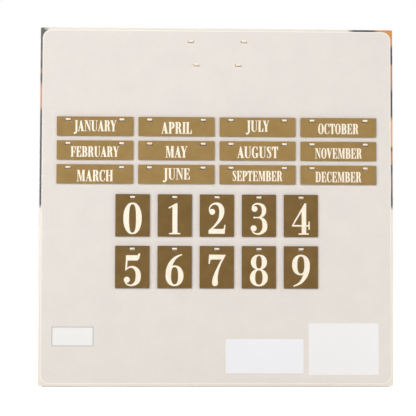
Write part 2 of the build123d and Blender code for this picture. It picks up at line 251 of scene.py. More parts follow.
off_fold = add_node(tree, "ShaderNodeMath", {0: across_fold}, operation="ABSOLUTE")
mitre = add_node(
    tree, "ShaderNodeMapRange", {"Value": off_fold, "From Min": FOLD_WIDTH / 2, "From Max": 0.0}
)
behind = add_node(
    tree,
    "ShaderNodeMath",
    {0: spot["Y"], 1: wrap_high.y - REAR_SKIN},
    operation="GREATER_THAN",
)
# The creases of the mitred folds on the turned-in rear, where a line of painted shade goes.
painted_fold_shade = add_node(tree, "ShaderNodeMath", {0: mitre, 1: behind}, operation="MULTIPLY")
# Cream are the flaps turned in above and below, the top but for its ends, and the lower half.
pale = behind
for along, start, end, operation in (
    (across_fold, 0.0, MITRE_EDGE, "MULTIPLY"),
    (spot["Z"], DARK_PRINT_TOP - PRINT_TOP_FADE, DARK_PRINT_TOP, "MAXIMUM"),
    (spot["X"], PALE_TOP_LEFT - PALE_TOP_FADE, PALE_TOP_LEFT, "MULTIPLY"),
    (spot["X"], PALE_TOP_RIGHT + PALE_TOP_FADE, PALE_TOP_RIGHT, "MULTIPLY"),
    (spot["Z"], DARK_PRINT_BASE + PRINT_BASE_FADE, DARK_PRINT_BASE - PRINT_BASE_FADE, "MAXIMUM"),
):
    reached = add_node(
        tree, "ShaderNodeMapRange", {"Value": along, "From Min": start, "From Max": end}
    )
    pale = add_node(tree, "ShaderNodeMath", {0: reached, 1: pale}, operation=operation)
printed = add_node(
    tree, "ShaderNodeMix", {"Factor": pale, "A": colour, "B": cream}, data_type="RGBA"
)
near_faces = 0.0
for axis in "XYZ":
    near = add_node(
        tree,
        "ShaderNodeMapRange",
        {"Value": depths[axis], "From Min": SCUFF_WIDTH, "From Max": 0.0},
    )
    near_faces = add_node(tree, "ShaderNodeMath", {0: near, 1: near_faces}, operation="ADD")
rubbing = add_node(
    tree,
    "ShaderNodeTexNoise",
    {"Vector": place, "Scale": 1 / RUBBED_PATCH, "Detail": 5.0, "Roughness": 0.7},
)
rubbed = add_node(
    tree, "ShaderNodeMath", {0: rubbing, 1: RUBBING_SHARE, 2: near_faces}, operation="MULTIPLY_ADD"
)
scuffed = add_node(
    tree, "ShaderNodeMapRange", {"Value": rubbed, "From Min": SCUFF_START, "From Max": SCUFF_FULL}
)
paper = add_node(
    tree, "ShaderNodeMix", {"Factor": scuffed, "A": printed, "B": "#F1ECE4"}, data_type="RGBA"
)
# Painted shade: the creases of the mitred folds are darkened in the paper's colour.
shaded = add_node(tree, "ShaderNodeMath", {0: painted_fold_shade, 1: FOLD_SHADE}, operation="MULTIPLY")
paper = add_node(
    tree, "ShaderNodeMix", {"Factor": shaded, "A": paper, "B": "#5E554A"}, data_type="RGBA"
)
gloss = add_node(tree, "ShaderNodeMapRange", {"Value": scuffed, "To Min": 0.4, "To Max": 0.8})
pulp = add_node(tree, "ShaderNodeTexNoise", {"Vector": place, "Scale": 1 / PULP, "Detail": 3.0})
tooth = add_node(
    tree, "ShaderNodeBump", {"Height": pulp, "Strength": 0.12, "Distance": WRAP_TOOTH}
)
set_inputs(surface, {"Base Color": paper, "Roughness": gloss, "Normal": tooth})
give(wrap_paper, "case_wrap")

# ---------------------------------------------------------------- face board and backing sheet
# The face board is fibreboard, sawn and slit for the hooks. A sheet of hardboard glued behind it
# traps the hooks' heads. The wrap and the face sheet close both in.

WOOD_FIBRE = 0.7 * MM
SAWN_DEPTH = 0.1 * MM

# Raw fibreboard: a dull felted tan with darker fibres and a woolly sawn surface.
fibreboard, tree, surface, place = new_finish("raw_fibreboard")
fibres = add_node(
    tree,
    "ShaderNodeTexNoise",
    {"Vector": place, "Scale": 1 / WOOD_FIBRE, "Detail": 5.0, "Roughness": 0.7},
)
tan = add_node(
    tree, "ShaderNodeMix", {"Factor": fibres, "A": "#8F6D46", "B": "#C9A573"}, data_type="RGBA"
)
wool = add_node(
    tree, "ShaderNodeBump", {"Height": fibres, "Strength": 0.5, "Distance": SAWN_DEPTH}
)
set_inputs(surface, {"Base Color": tan, "Roughness": 0.85, "Normal": wool})
give(fibreboard, "face_board", "backing_sheet")

# ---------------------------------------------------------------- face sheet
# A die-cut sheet of beige coated card covers the front. Its corners are rounded, and the die has
# pressed a fine white line along its cut edge.

SHEET_CORNER = 5.0 * MM
CUT_LINE = 0.5 * MM
CUT_LINE_EDGE = 0.05 * MM
PRINT_CLOUD = 14 * MM
CARD_TOOTH = 0.04 * MM

# Beige coated card: an even matt print over faint cloudy pulp, with the white core at the cut line.
beige_card, tree, surface, place = new_finish("beige_coated_card")
inside = depth_inside(tree, place, *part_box("face_sheet"))
# The centre of each rounded corner as depths, of which y's is low enough never to count
corner_centre = (SHEET_CORNER, -1.0, SHEET_CORNER)
from_centre = add_node(
    tree, "ShaderNodeVectorMath", {0: corner_centre, 1: inside}, operation="SUBTRACT"
)
outward = add_node(
    tree, "ShaderNodeVectorMath", {0: from_centre, 1: (0, 0, 0)}, operation="MAXIMUM"
)
distance = add_node(tree, "ShaderNodeVectorMath", {0: outward}, operation="LENGTH")
line_start = SHEET_CORNER - CUT_LINE
cut_line = add_node(
    tree,
    "ShaderNodeMapRange",
    {
        "Value": distance,
        "From Min": line_start - CUT_LINE_EDGE,
        "From Max": line_start + CUT_LINE_EDGE,
    },
)
clouds = add_node(
    tree,
    "ShaderNodeTexNoise",
    {"Vector": place, "Scale": 1 / PRINT_CLOUD, "Detail": 4.0, "Roughness": 0.6},
)
cloudy = add_node(
    tree, "ShaderNodeMapRange", {"Value": clouds, "From Min": 0.3, "From Max": 0.7}
)
pulp = add_node(
    tree,
    "ShaderNodeTexNoise",
    {"Vector": place, "Scale": 1 / PULP, "Detail": 3.0, "Roughness": 0.6},
)
beige = add_node(
    tree, "ShaderNodeMix", {"Factor": cloudy, "A": "#EDE6DF", "B": "#E9E2DC"}, data_type="RGBA"
)
specks = add_node(
    tree,
    "ShaderNodeMapRange",
    {"Value": pulp, "From Min": 0.55, "From Max": 0.8, "To Max": 0.5},
)
beige = add_node(
    tree, "ShaderNodeMix", {"Factor": specks, "A": beige, "B": "#DFD7CD"}, data_type="RGBA"
)
card_face = add_node(
    tree, "ShaderNodeMix", {"Factor": cut_line, "A": beige, "B": "#FAF6F0"}, data_type="RGBA"
)
tooth = add_node(
    tree, "ShaderNodeBump", {"Height": pulp, "Strength": 0.1, "Distance": CARD_TOOTH}
)
set_inputs(surface, {"Base Color": card_face, "Roughness": 0.6, "Normal": tooth})
give(beige_card, "face_sheet")

# ---------------------------------------------------------------- blank labels
# Three plain paper stickers near the lower edge. The left one has a thin grey printed border, and
# the middle one is of bluish stock.

BORDER_EDGE = 0.03 * MM
LABEL_TOOTH = 0.03 * MM

# Label paper: dead matt and nearly white, with the faint tooth of uncoated stock.
for label, paper, shade, border, border_width in (
    ("label_left", "#FCFBFA", "#F5F4F2", "#A5A3A0", 0.3 * MM),
    ("label_centre", "#FCFCFF", "#F5F6FB", "#FDFDFF", 0.4 * MM),
    ("label_right", "#FEFDFC", "#F6F4F3", "#F2F0EE", 0.3 * MM),
):
    finish, tree, surface, place = new_finish(f"uncoated_paper_of_{label}")
    inside = depth_inside(tree, place, *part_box(label))
    depths = add_node(tree, "ShaderNodeSeparateXYZ", {"Vector": inside}).outputs
    to_edge = add_node(tree, "ShaderNodeMath", {0: depths["X"], 1: depths["Z"]}, operation="MINIMUM")
    on_border = add_node(
        tree,
        "ShaderNodeMapRange",
        {
            "Value": to_edge,
            "From Min": border_width + BORDER_EDGE,
            "From Max": border_width - BORDER_EDGE,
        },
    )
    pulp = add_node(
        tree, "ShaderNodeTexNoise", {"Vector": place, "Scale": 1 / PULP, "Detail": 4.0}
    )
    stock = add_node(
        tree, "ShaderNodeMix", {"Factor": pulp, "A": paper, "B": shade}, data_type="RGBA"
    )
    stock = add_node(
        tree, "ShaderNodeMix", {"Factor": on_border, "A": stock, "B": border}, data_type="RGBA"
    )
    tooth = add_node(
        tree, "ShaderNodeBump", {"Height": pulp, "Strength": 0.2, "Distance": LABEL_TOOTH}
    )
    set_inputs(surface, {"Base Color": stock, "Roughness": 0.75, "Normal": tooth})
    give(finish, label)

# ---------------------------------------------------------------- hooks
# Each hook is a strip of thin steel, bent up at the front into a lip and stopped by a flat head
# behind the face board. The hooks are stove-enamelled cream before they are pushed through.

SLOT_SPACING = 30.6 * MM
SLOT_DROP = 1.6 * MM
SEAT_CLEARANCE = 0.05 * MM
DISPLAY_MONTH_TOP = 200.0 * MM  # where the tops of the cards on the display hooks would be
DISPLAY_NUMBER_TOP = 186.4 * MM
HOOK_SHEET = 0.6 * MM
HOOK_WIDTH = 2.8 * MM
HOOK_LIP = 0.5 * MM
HOOK_BEND = 0.38 * MM
HOOK_ROUNDING = 0.12 * MM
HEAD_WIDTH = 4.8 * MM
HEAD_HEIGHT = 3.0 * MM
HEAD_CORNER = 0.4 * MM
BEND_STEPS = 6
ROUNDING_STEPS = 3
CORNER_STEPS = 4
SAME_POINT = 0.001 * MM
ENAMEL_RUN = 2.2 * MM
ENAMEL_PEEL = 0.5 * MM
PEEL_DEPTH = 0.03 * MM
lips_front, heads_rear = (corner.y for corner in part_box("hooks_month_row_1"))
number_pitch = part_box("number_card_1")[0].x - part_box("number_card_0")[0].x


def new_object(name, data):
    """A new object in the scene."""
    made = bpy.data.objects.new(name, data)
    bpy.context.collection.objects.link(made)
    return made


# Cream stove enamel: a warm soft gloss, faintly uneven where it ran thin.
cream_enamel, tree, surface, place = new_finish("cream_stove_enamel")
flow = add_node(
    tree, "ShaderNodeTexNoise", {"Vector": place, "Scale": 1 / ENAMEL_RUN, "Detail": 3.0}
)
thin = add_node(tree, "ShaderNodeMapRange", {"Value": flow, "From Min": 0.4, "From Max": 0.7})
cream = add_node(
    tree, "ShaderNodeMix", {"Factor": thin, "A": "#FFF5E0", "B": "#FCECD3"}, data_type="RGBA"
)
peel = add_node(
    tree, "ShaderNodeTexNoise", {"Vector": place, "Scale": 1 / ENAMEL_PEEL, "Detail": 2.0}
)
ripple = add_node(
    tree, "ShaderNodeBump", {"Height": peel, "Strength": 0.1, "Distance": PEEL_DEPTH}
)
set_inputs(surface, {"Base Color": cream, "Roughness": 0.36, "Normal": ripple})

months = [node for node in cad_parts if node.startswith("month_card_")]
numbers = [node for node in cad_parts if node.startswith("number_card_")]
seats = []
for node in months + numbers:
    low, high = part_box(node)
    offsets = (-SLOT_SPACING / 2, SLOT_SPACING / 2) if node in months else (0.0,)
    seats += [((low.x + high.x) / 2 + offset, high.z) for offset in offsets]
for side in (-1, 1):
    seats += [
        (side * SLOT_SPACING / 2, DISPLAY_MONTH_TOP),
        (side * number_pitch / 2, DISPLAY_NUMBER_TOP),
    ]
seat_mesh = bpy.data.meshes.new("hook_seats")
seat_mesh.from_pydata([(x, 0, top - SLOT_DROP - SEAT_CLEARANCE) for x, top in seats], [], [])
hooks = new_object("hooks", seat_mesh)

strip_middle = -HOOK_SHEET / 2
lip_middle = lips_front + HOOK_SHEET / 2
hook_sizes = {
    "Root": (0, heads_rear - HOOK_SHEET, strip_middle),
    "Corner": (0, lip_middle, strip_middle),
    "Tip": (0, lip_middle, HOOK_LIP),
    "Head rear": (0, heads_rear, strip_middle),
    "Width": HOOK_WIDTH,
    "Sheet": HOOK_SHEET,
    "Bend": HOOK_BEND,
    "Rounding": HOOK_ROUNDING,
    "Head width": HEAD_WIDTH,
    "Head height": HEAD_HEIGHT,
    "Head corner": HEAD_CORNER,
}
hook_tree = bpy.data.node_groups.new("hook_on_each_seat", "GeometryNodeTree")
hook_tree.interface.new_socket("Seats", in_out="INPUT", socket_type="NodeSocketGeometry")
for name, size in hook_sizes.items():
    kind = "Vector" if isinstance(size, tuple) else "Float"
    hook_tree.interface.new_socket(name, in_out="INPUT", socket_type=f"NodeSocket{kind}")
hook_tree.interface.new_socket("Hooks", in_out="OUTPUT", socket_type="NodeSocketGeometry")
given = add_node(hook_tree, "NodeGroupInput", {}).outputs
tab = add_node(
    hook_tree, "GeometryNodeCurvePrimitiveLine", {"Start": given["Root"], "End": given["Corner"]}
)
lip = add_node(
    hook_tree, "GeometryNodeCurvePrimitiveLine", {"Start": given["Corner"], "End": given["Tip"]}
)
tab_and_lip = add_node(hook_tree, "GeometryNodeJoinGeometry", {0: [lip, tab]})
wire = add_node(hook_tree, "GeometryNodeCurveToMesh", {"Curve": tab_and_lip})
one_wire = add_node(
    hook_tree, "GeometryNodeMergeByDistance", {"Geometry": wire, "Distance": SAME_POINT}
)
run = add_node(hook_tree, "GeometryNodeMeshToCurve", {"Mesh": one_wire})
bent_run = add_node(
    hook_tree,
    "GeometryNodeFilletCurve",
    {"Curve": run, "Radius": given["Bend"], "Count": BEND_STEPS},
    mode="POLY",
)
strip_section = add_node(
    hook_tree,
    "GeometryNodeCurvePrimitiveQuadrilateral",
    {"Width": given["Width"], "Height": given["Sheet"]},
)
soft_section = add_node(
    hook_tree,
    "GeometryNodeFilletCurve",
    {"Curve": strip_section, "Radius": given["Rounding"], "Count": ROUNDING_STEPS},
    mode="POLY",
)
strip = add_node(
    hook_tree,
    "GeometryNodeCurveToMesh",
    {"Curve": bent_run, "Profile Curve": soft_section, "Fill Caps": True},
)
head_line = add_node(
    hook_tree, "GeometryNodeCurvePrimitiveLine", {"Start": given["Root"], "End": given["Head rear"]}
)
head_section = add_node(
    hook_tree,
    "GeometryNodeCurvePrimitiveQuadrilateral",
    {"Width": given["Head width"], "Height": given["Head height"]},
)
round_section = add_node(
    hook_tree,
    "GeometryNodeFilletCurve",
    {"Curve": head_section, "Radius": given["Head corner"], "Count": CORNER_STEPS},
    mode="POLY",
)
head = add_node(
    hook_tree,
    "GeometryNodeCurveToMesh",
    {"Curve": head_line, "Profile Curve": round_section, "Fill Caps": True},
)
one_hook = add_node(hook_tree, "GeometryNodeJoinGeometry", {0: [strip, head]})
placed = add_node(
    hook_tree, "GeometryNodeInstanceOnPoints", {"Points": given["Seats"], "Instance": one_hook}
)
real_hooks = add_node(hook_tree, "GeometryNodeRealizeInstances", {"Geometry": placed})
enamelled = add_node(
    hook_tree, "GeometryNodeSetMaterial", {"Geometry": real_hooks, "Material": cream_enamel}
)
add_node(hook_tree, "NodeGroupOutput", {"Hooks": enamelled})

modifier = hooks.modifiers.new("hooks", "NODES")
modifier.node_group = hook_tree
for socket in hook_tree.interface.items_tree:
    if socket.name in hook_sizes:
        modifier[socket.identifier] = hook_sizes[socket.name]
evaluated = hooks.evaluated_get(bpy.context.evaluated_depsgraph_get())
hook_mesh = bpy.data.meshes.new_from_object(evaluated)
hooks.modifiers.clear()
hooks.data = hook_mesh
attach(hooks, "case")
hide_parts(*[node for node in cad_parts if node.startswith("hooks_")])

# ---------------------------------------------------------------- cards
# Twelve month cards and ten number cards are punched from thin steel sheet, with slots for the
# hooks. The month cards are enamelled ochre, and the number cards umber.

PUNCHED_EDGE = 0.1 * MM
PUNCHED_EDGE_STEPS = 2
PUNCHED_EDGE_ANGLE = math.radians(50)  # edges that turn more than this are rolled by the punch
ENAMEL_CLOUD = 8 * MM
ENAMEL_GRAIN = 0.6 * MM
GRAIN_DEPTH = 0.04 * MM

# Eggshell enamel: a nearly matt even colour over a fine grain, slightly cloudy.
for name, light, dark, nodes in (
    ("ochre_eggshell_enamel", "#A4854E", "#9A7B44", months),
    ("umber_eggshell_enamel", "#7B5E2C", "#6D5222", numbers),
):
    enamel, tree, surface, place = new_finish(name)
    clouds = add_node(
        tree,
        "ShaderNodeTexNoise",
        {"Vector": place, "Scale": 1 / ENAMEL_CLOUD, "Detail": 4.0, "Roughness": 0.6},
    )
    cloudy = add_node(
        tree, "ShaderNodeMapRange", {"Value": clouds, "From Min": 0.32, "From Max": 0.7}
    )
    colour = add_node(
        tree, "ShaderNodeMix", {"Factor": cloudy, "A": light, "B": dark}, data_type="RGBA"
    )
    grain = add_node(
        tree,
        "ShaderNodeTexNoise",
        {"Vector": place, "Scale": 1 / ENAMEL_GRAIN, "Detail": 4.0, "Roughness": 0.7},
    )
    grainy = add_node(
        tree,
        "ShaderNodeMapRange",
        {"Value": grain, "From Min": 0.5, "From Max": 0.8, "To Max": 0.5},
    )
    colour = add_node(
        tree, "ShaderNodeMix", {"Factor": grainy, "A": colour, "B": light}, data_type="RGBA"
    )
    gloss = add_node(tree, "ShaderNodeMapRange", {"Value": grain, "To Min": 0.52, "To Max": 0.7})
    fine = add_node(
        tree, "ShaderNodeBump", {"Height": grain, "Strength": 0.15, "Distance": GRAIN_DEPTH}
    )
    set_inputs(
        surface,
        {"Base Color": colour, "Roughness": gloss, "Specular IOR Level": 0.25, "Normal": fine},
    )
    give(enamel, *nodes)
    for node in nodes:
        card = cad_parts[node]
        card.modifiers.new("joined", "WELD").merge_threshold = SAME_POINT
        rolled = card.modifiers.new("punched_edge", "BEVEL")
        rolled.width = PUNCHED_EDGE
        rolled.segments = PUNCHED_EDGE_STEPS
        rolled.limit_method = "ANGLE"
        rolled.angle_limit = PUNCHED_EDGE_ANGLE

# ---------------------------------------------------------------- month names and numerals
# The names and numerals are screened on the cards in thick cream enamel, so they stand slightly
# proud. They are narrow capitals and figures with heavy stems, hairlines, thin serifs and balls.

RAISED = 0.09 * MM
SUNK = 0.05 * MM
CAPITAL = 100  # a capital's height, in the units of every size inside a letter
STEM = 19
HAIR = 6
SERIF = 5
OVERHANG = 5
BOWL_ROUND = 0.8  # the share of a bowl's width that is curved, outside and then inside
COUNTER_ROUND = 0.75
COUNTER_LIMIT = 0.9  # of the outer curve
BOWL_FULLNESS = 2.3
COUNTER_FULLNESS = 2.4
RIGHT_HALF = 0.5  # of a whole turn
WEDGE_WIDTH = 15
WEDGE_TIP = 4
WEDGE_HOLLOW = 0.9
TONGUE_RISE = 19
TONGUE_DROP = 14
TONGUE_WIDTH = 9.5
TONGUE_TIP = 3
CURVE_STEPS = 40
STROKE_STEPS = 9
SAME_CORNER = 1e-7  # m, the distance within which two corners of outlines are one


def bar(x0, y0, x1, y1):
    """An upright rectangle."""
    return [(x0, y0), (x1, y0), (x1, y1), (x0, y1)]


def oval(x, y, rx, ry, fullness=2.0, turn=1.0):
    """An ellipse, squarer where its fullness is above 2, or the part of one to the right of x."""
    points = []
    for step in range(CURVE_STEPS + 1):
        angle = math.pi * turn * (2 * step / CURVE_STEPS - 1)
        c, s = math.cos(angle), math.sin(angle)
        points.append(
            (
                x + rx * math.copysign(abs(c) ** (2 / fullness), c),
                y + ry * math.copysign(abs(s) ** (2 / fullness), s),
            )
        )
    return points if turn < 1 else points[:-1]


def stroke(*stations):
    """A pen stroke through stations of x, y and width, smooth between them."""
    path = []
    for i, (start, end) in enumerate(zip(stations, stations[1:])):
        before, after = stations[max(i - 1, 0)], stations[min(i + 2, len(stations) - 1)]
        for step in range(STROKE_STEPS):
            t = step / STROKE_STEPS
            weights = (
                (2 * t**2 - t - t**3) / 2,
                (2 - 5 * t**2 + 3 * t**3) / 2,
                (t + 4 * t**2 - 3 * t**3) / 2,
                (t**3 - t**2) / 2,
            )
            four = zip(before, start, end, after)
            path.append([sum(w * v for w, v in zip(weights, values)) for values in four])
    path.append(stations[-1])
    left, right = [], []
    for i, (x, y, width) in enumerate(path):
        ahead, behind = path[min(i + 1, len(path) - 1)], path[max(i - 1, 0)]
        along = Vector((ahead[0] - behind[0], ahead[1] - behind[1])).normalized()
        left.append((x - along.y * width / 2, y + along.x * width / 2))
        right.append((x + along.y * width / 2, y - along.x * width / 2))
    return left + right[::-1]


def ink(*outlines):
    """Outlines to fill."""
    return [(True, outline) for outline in outlines]


def gap(*outlines):
    """Outlines to cut out of what is there."""
    return [(False, outline) for outline in outlines]


def serif(x0, x1, y):
    """A thin serif under (y = 0) or on top of (y = CAPITAL) a stem between x0 and x1."""
    low = 0 if y == 0 else CAPITAL - SERIF
    return ink(bar(x0 - OVERHANG, low, x1 + OVERHANG, low + SERIF))


def stem(x, *serif_heights):
    """An upright stem with serifs at the heights given."""
    serifs = [shape for y in serif_heights for shape in serif(x, x + STEM, y)]
    return ink(bar(x, 0, x + STEM, CAPITAL)) + serifs


def bowl(x, y0, y1, right):
    """The bowl of a letter whose stem ends at x: thin above and below, thick on the right."""
    middle, half = (y0 + y1) / 2, (y1 - y0) / 2
    curve = min(half, BOWL_ROUND * (right - x))
    inner = right - STEM - x
    inner_curve = min(COUNTER_ROUND * inner, COUNTER_LIMIT * curve)
    start, inner_start = right - curve, x + inner - inner_curve
    outer_end = oval(start, middle, curve, half, BOWL_FULLNESS, RIGHT_HALF)
    inner_end = oval(inner_start, middle, inner_curve, half - HAIR, COUNTER_FULLNESS, RIGHT_HALF)
    return (
        ink(bar(x - 1, y0, start, y1), outer_end)
        + gap(bar(x, y0 + HAIR, inner_start, y1 - HAIR))
        + gap(inner_end)
    )


def arm(x, y, end, wedge):
    """A thin arm at the top (y = CAPITAL) or the foot (y = 0), with a wedge at its end."""
    inward = -1 if y == CAPITAL else 1
    inner = y + inward * SERIF
    return ink(
        bar(x, min(y, inner), end, max(y, inner)),
        [
            (end, y),
            (end, y + inward * wedge),
            (end - WEDGE_TIP, y + inward * wedge * WEDGE_HOLLOW),
            (end - WEDGE_WIDTH, inner),
            (end - WEDGE_WIDTH, y),
        ],
    )


def tongue(x, y, end):
    """The short middle arm of an E or an F, with a wedge up and down at its end."""
    tip, inner = end - TONGUE_TIP, end - TONGUE_WIDTH
    return ink(
        bar(x, y, end, y + SERIF),
        [(end, y + TONGUE_RISE), (tip, y + TONGUE_RISE), (inner, y + SERIF)]
        + [(inner, y), (tip, y - TONGUE_DROP), (end, y - TONGUE_DROP)],
    )


def half_turned(shapes, width):
    """Shapes turned upside down within a letter's width."""
    return [(kind, [(width - x, CAPITAL - y) for x, y in outline]) for kind, outline in shapes]


ROUND = ink(oval(31, 50, 29.5, 51.5, 2.2)) + gap(oval(31, 50, 10.5, 46, 2.5))
OPEN_ROUND = (
    ink(oval(31, 50, 29.5, 51.5, 2.2))
    + gap(oval(35, 50, 15.5, 46, 2.4), bar(35, 28, 64, 70), bar(53.5, -5, 64, 105))
    + ink([(54, 99), (54, 64), (51, 64), (42, 93), (47, 99)])
)
SLANTS = ink(
    [(6, 0), (12.5, 0), (33.5, 88), (30, 100)],
    [(39, 0), (60, 0), (37.5, 100), (29.5, 100), (22, 71)],
)

# Each letter's advance and shapes. A later shape covers the earlier ones.
LETTERS = {
    "A": (65, SLANTS + ink(bar(11, 27, 46, 33), bar(0, 0, 19, SERIF), bar(33, 0, 66, SERIF))),
    "B": (60, stem(6, 0, 100) + bowl(25, 45, 100, 54) + bowl(25, 0, 51, 57.5)),
    "C": (58, OPEN_ROUND + ink(stroke((38, 2.5, 5), (46, 7, 5), (52, 18, 4), (55.5, 33, 3)))),
    "D": (64, stem(6, 0, 100) + bowl(25, 0, 100, 61)),
    "E": (57, stem(6, 0, 100) + arm(25, 100, 52, 32) + arm(25, 0, 55, 36) + tongue(25, 48, 42.5)),
    "F": (54, stem(6, 0, 100) + arm(25, 100, 52, 36) + tongue(25, 46, 42.5)),
    "G": (
        65,
        OPEN_ROUND
        + ink(stroke((37, 2.5, 5), (44, 4.5, 6), (50, 12, 8)))
        + ink(bar(39, 6, 39 + STEM, 42), bar(33, 38, 64, 43)),
    ),
    "H": (71, stem(6, 0, 100) + stem(46, 0, 100) + ink(bar(20, 47, 50, 53))),
    "I": (32, stem(6.5, 0, 100)),
    "J": (
        43,
        ink(bar(17, 10, 17 + STEM, 100), bar(12, 95, 41, 100), oval(6.5, -16, 8.5, 8.5))
        + ink(stroke((26.5, 14, 19), (26, -1, 18), (21.5, -14, 12), (13, -22, 6), (5, -22.4, 3))),
    ),
    "L": (54, stem(6, 0, 100) + arm(25, 0, 53, 38)),
    "M": (
        83,
        ink(bar(9, 0, 9 + HAIR, 100), bar(0, 0, 24, SERIF), bar(1, 95, 27, 100))
        + ink([(7, 100), (27.5, 100), (46, 14), (42, 0), (38, 0)])
        + ink([(38, 0), (43, 0), (63, 98), (57, 100)])
        + stem(57, 0, 100),
    ),
    "N": (
        67,
        ink(bar(8.5, 0, 8.5 + HAIR, 100), bar(0, 0, 23, SERIF), bar(-1, 95, 19, 100))
        + ink([(5.5, 100), (26, 100), (58.5, 14), (58.5, 0), (52, 0), (8.5, 93)])
        + ink(bar(52.5, 0, 52.5 + HAIR, 100), bar(44, 95, 67, 100)),
    ),
    "O": (62, ROUND),
    "P": (58, stem(6, 0, 100) + bowl(25, 44, 100, 55)),
    "R": (
        64,
        stem(6, 0, 100)
        + bowl(25, 48, 100, 54.5)
        + ink(
            stroke(
                (29, 50.5, 5),
                (38, 48, 11),
                (43.5, 38, 17),
                (45.5, 21, 18),
                (48, 8, 15),
                (53, 2, 7),
                (59, 2, 3.5),
                (63.5, 9, 3),
            )
        ),
    ),
    "S": (
        48,
        ink(
            stroke(
                (42, 75, 3),
                (37, 88, 4.5),
                (27, 97.5, 5.5),
                (15, 92, 12),
                (11.5, 78, 16.5),
                (20, 62, 18.5),
                (31, 46, 19),
                (37, 28, 17),
                (33, 11, 12),
                (22, 2.6, 5.5),
                (11, 9, 4.5),
                (6.2, 25, 3),
            ),
            [(43.5, 100), (43.5, 66), (40.5, 66), (38, 88), (41, 100)],
            [(4.5, 0), (4.5, 34), (7.5, 34), (10, 12), (7, 0)],
        ),
    ),
    "T": (
        58,
        stem(19.5, 0)
        + arm(29, 100, 57, 36)
        + ink(bar(1, 95, 30, 100), [(1, 100), (1, 64), (5, 67.6), (16, 95), (16, 100)]),
    ),
    "U": (
        65,
        ink(oval(31.5, 29, 25.5, 30.5, 2.1))
        + gap(bar(-1, 29, 66, 62), oval(37.5, 29, 12.5, 25, 2.1))
        + ink(bar(6, 29, 6 + STEM, 100), bar(50.5, 29, 50.5 + HAIR, 100))
        + ink(bar(0, 95, 30, 100), bar(43, 95, 65, 100)),
    ),
    "V": (65, half_turned(SLANTS, 65) + ink(bar(47, 95, 65.5, 100), bar(-1, 95, 32, 100))),
    "Y": (
        62,
        ink(bar(22, 0, 22 + STEM, 42), bar(-2, 95, 29, 100), bar(44, 95, 63, 100))
        + ink([(3, 100), (24, 100), (41, 46), (41, 36), (22, 36), (22, 42)])
        + ink([(51.5, 100), (57.5, 100), (41, 44), (37, 52)])
        + serif(22, 22 + STEM, 0),
    ),
}
TRACKING = 3  # the space after a letter, which the pairs below widen or narrow
KERNS = {
    "JA": -5,
    "AN": 1,
    "UA": -2,
    "RY": -4,
    "MA": -1,
    "RC": -2,
    "PR": -1,
    "AY": -9,
    "LY": -9,
    "AU": -3,
    "ST": -1,
    "PT": -3,
    "CT": -2,
    "TO": -3,
    "OB": 1,
    "OV": -4,
    "VE": -2,
}

# The numerals stand about x = 0.
ZERO = ink(oval(0, 50, 29.2, 50.3, 2.15)) + gap(oval(0, 49.8, 11, 45, 2.7))
ONE = ink(
    [(8.6, 0), (8.6, 99), (3, 98), (-20.5, 84.5), (-18, 81), (-7.4, 87.2), (-7.4, 0)],
    [(-18.2, 0), (18.4, 0), (18.4, 3.2), (10.5, 5), (-9.5, 5), (-18.2, 3.2)],
)
TWO = ink(
    stroke(
        (-22.3, 70, 3),
        (-24, 78, 3.6),
        (-21.8, 87, 4.2),
        (-15.5, 94.3, 5),
        (-6, 97.7, 6.2),
        (4, 96, 10),
        (12, 88.5, 14.6),
        (15.4, 77, 16),
        (14.6, 62.5, 15),
        (8.6, 46.5, 10.3),
        (-3, 31, 7),
        (-13, 21, 5.6),
        (-21, 14.5, 5),
    ),
    oval(-14.8, 71.6, 9.4, 9.4),
    [(-26.6, 2), (25, 2), (27.4, 30.7), (23.7, 30.7), (22.6, 22.5), (20.8, 18.4), (17, 17.7)]
    + [(-12, 17.7), (-22.7, 16.4), (-26.6, 12)],
)
THREE = ink(
    stroke(
        (-21.2, 78, 2.6),
        (-20, 90, 4),
        (-11, 97, 5),
        (2, 96.8, 7),
        (12.8, 89, 12),
        (16.2, 76, 14),
        (12.6, 63, 11),
        (3, 55.5, 5.5),
        (-4, 54, 4),
    ),
    stroke(
        (-4, 54, 4),
        (5, 52.5, 5.5),
        (14.6, 45, 11.5),
        (18.8, 31, 15.5),
        (16.6, 15, 14.5),
        (5, 4, 8),
        (-6, 2, 5),
        (-18, 7, 4),
        (-24.6, 20, 2.6),
    ),
    bar(-14, 52, 0, 56),
    oval(-15, 54, 3, 3),
    oval(-13.8, 81.5, 9.3, 9.3),
    oval(-16.8, 19.6, 9.8, 9.8),
)
FOUR = ink(
    [(2.4, 4), (17, 4), (17, 99.5), (11.5, 100), (2.4, 82)],
    [(-28.5, 26), (-28.5, 30), (11.5, 100), (13.6, 92), (-23, 31), (-22.5, 26)],
    bar(-28.5, 26, 28.3, 31),
    bar(23.8, 16, 28.3, 42),
    bar(-7.4, 0, 25, 4.6),
)
FIVE = ink(
    [(-19.6, 97), (17, 97), (20.5, 103), (25, 102.5), (22, 87), (16.3, 80), (-14.6, 80)]
    + [(-16.5, 55), (-18.6, 49), (-22.2, 48.6)],
    stroke(
        (-19.6, 50, 2),
        (-13, 57, 4.5),
        (-3, 60, 6),
        (8, 56.5, 10),
        (17, 45.5, 15),
        (19, 31, 16.5),
        (15.6, 14, 14.5),
        (4, 4, 7.5),
        (-6, 2, 5),
        (-18, 6.5, 4),
        (-24.8, 19.5, 2.6),
    ),
    oval(-17, 19.4, 9.6, 9.6),
)
SIX = ink(
    oval(0, 32.5, 28.3, 32.8, 2.15),
    stroke(
        (-19.8, 34, 17),
        (-18.8, 50, 16.5),
        (-12.5, 69, 14),
        (-1, 86, 9.5),
        (11, 94.5, 6),
        (23.5, 99.5, 4),
    ),
) + gap(oval(0.3, 32.6, 11.2, 27.2, 2.5))
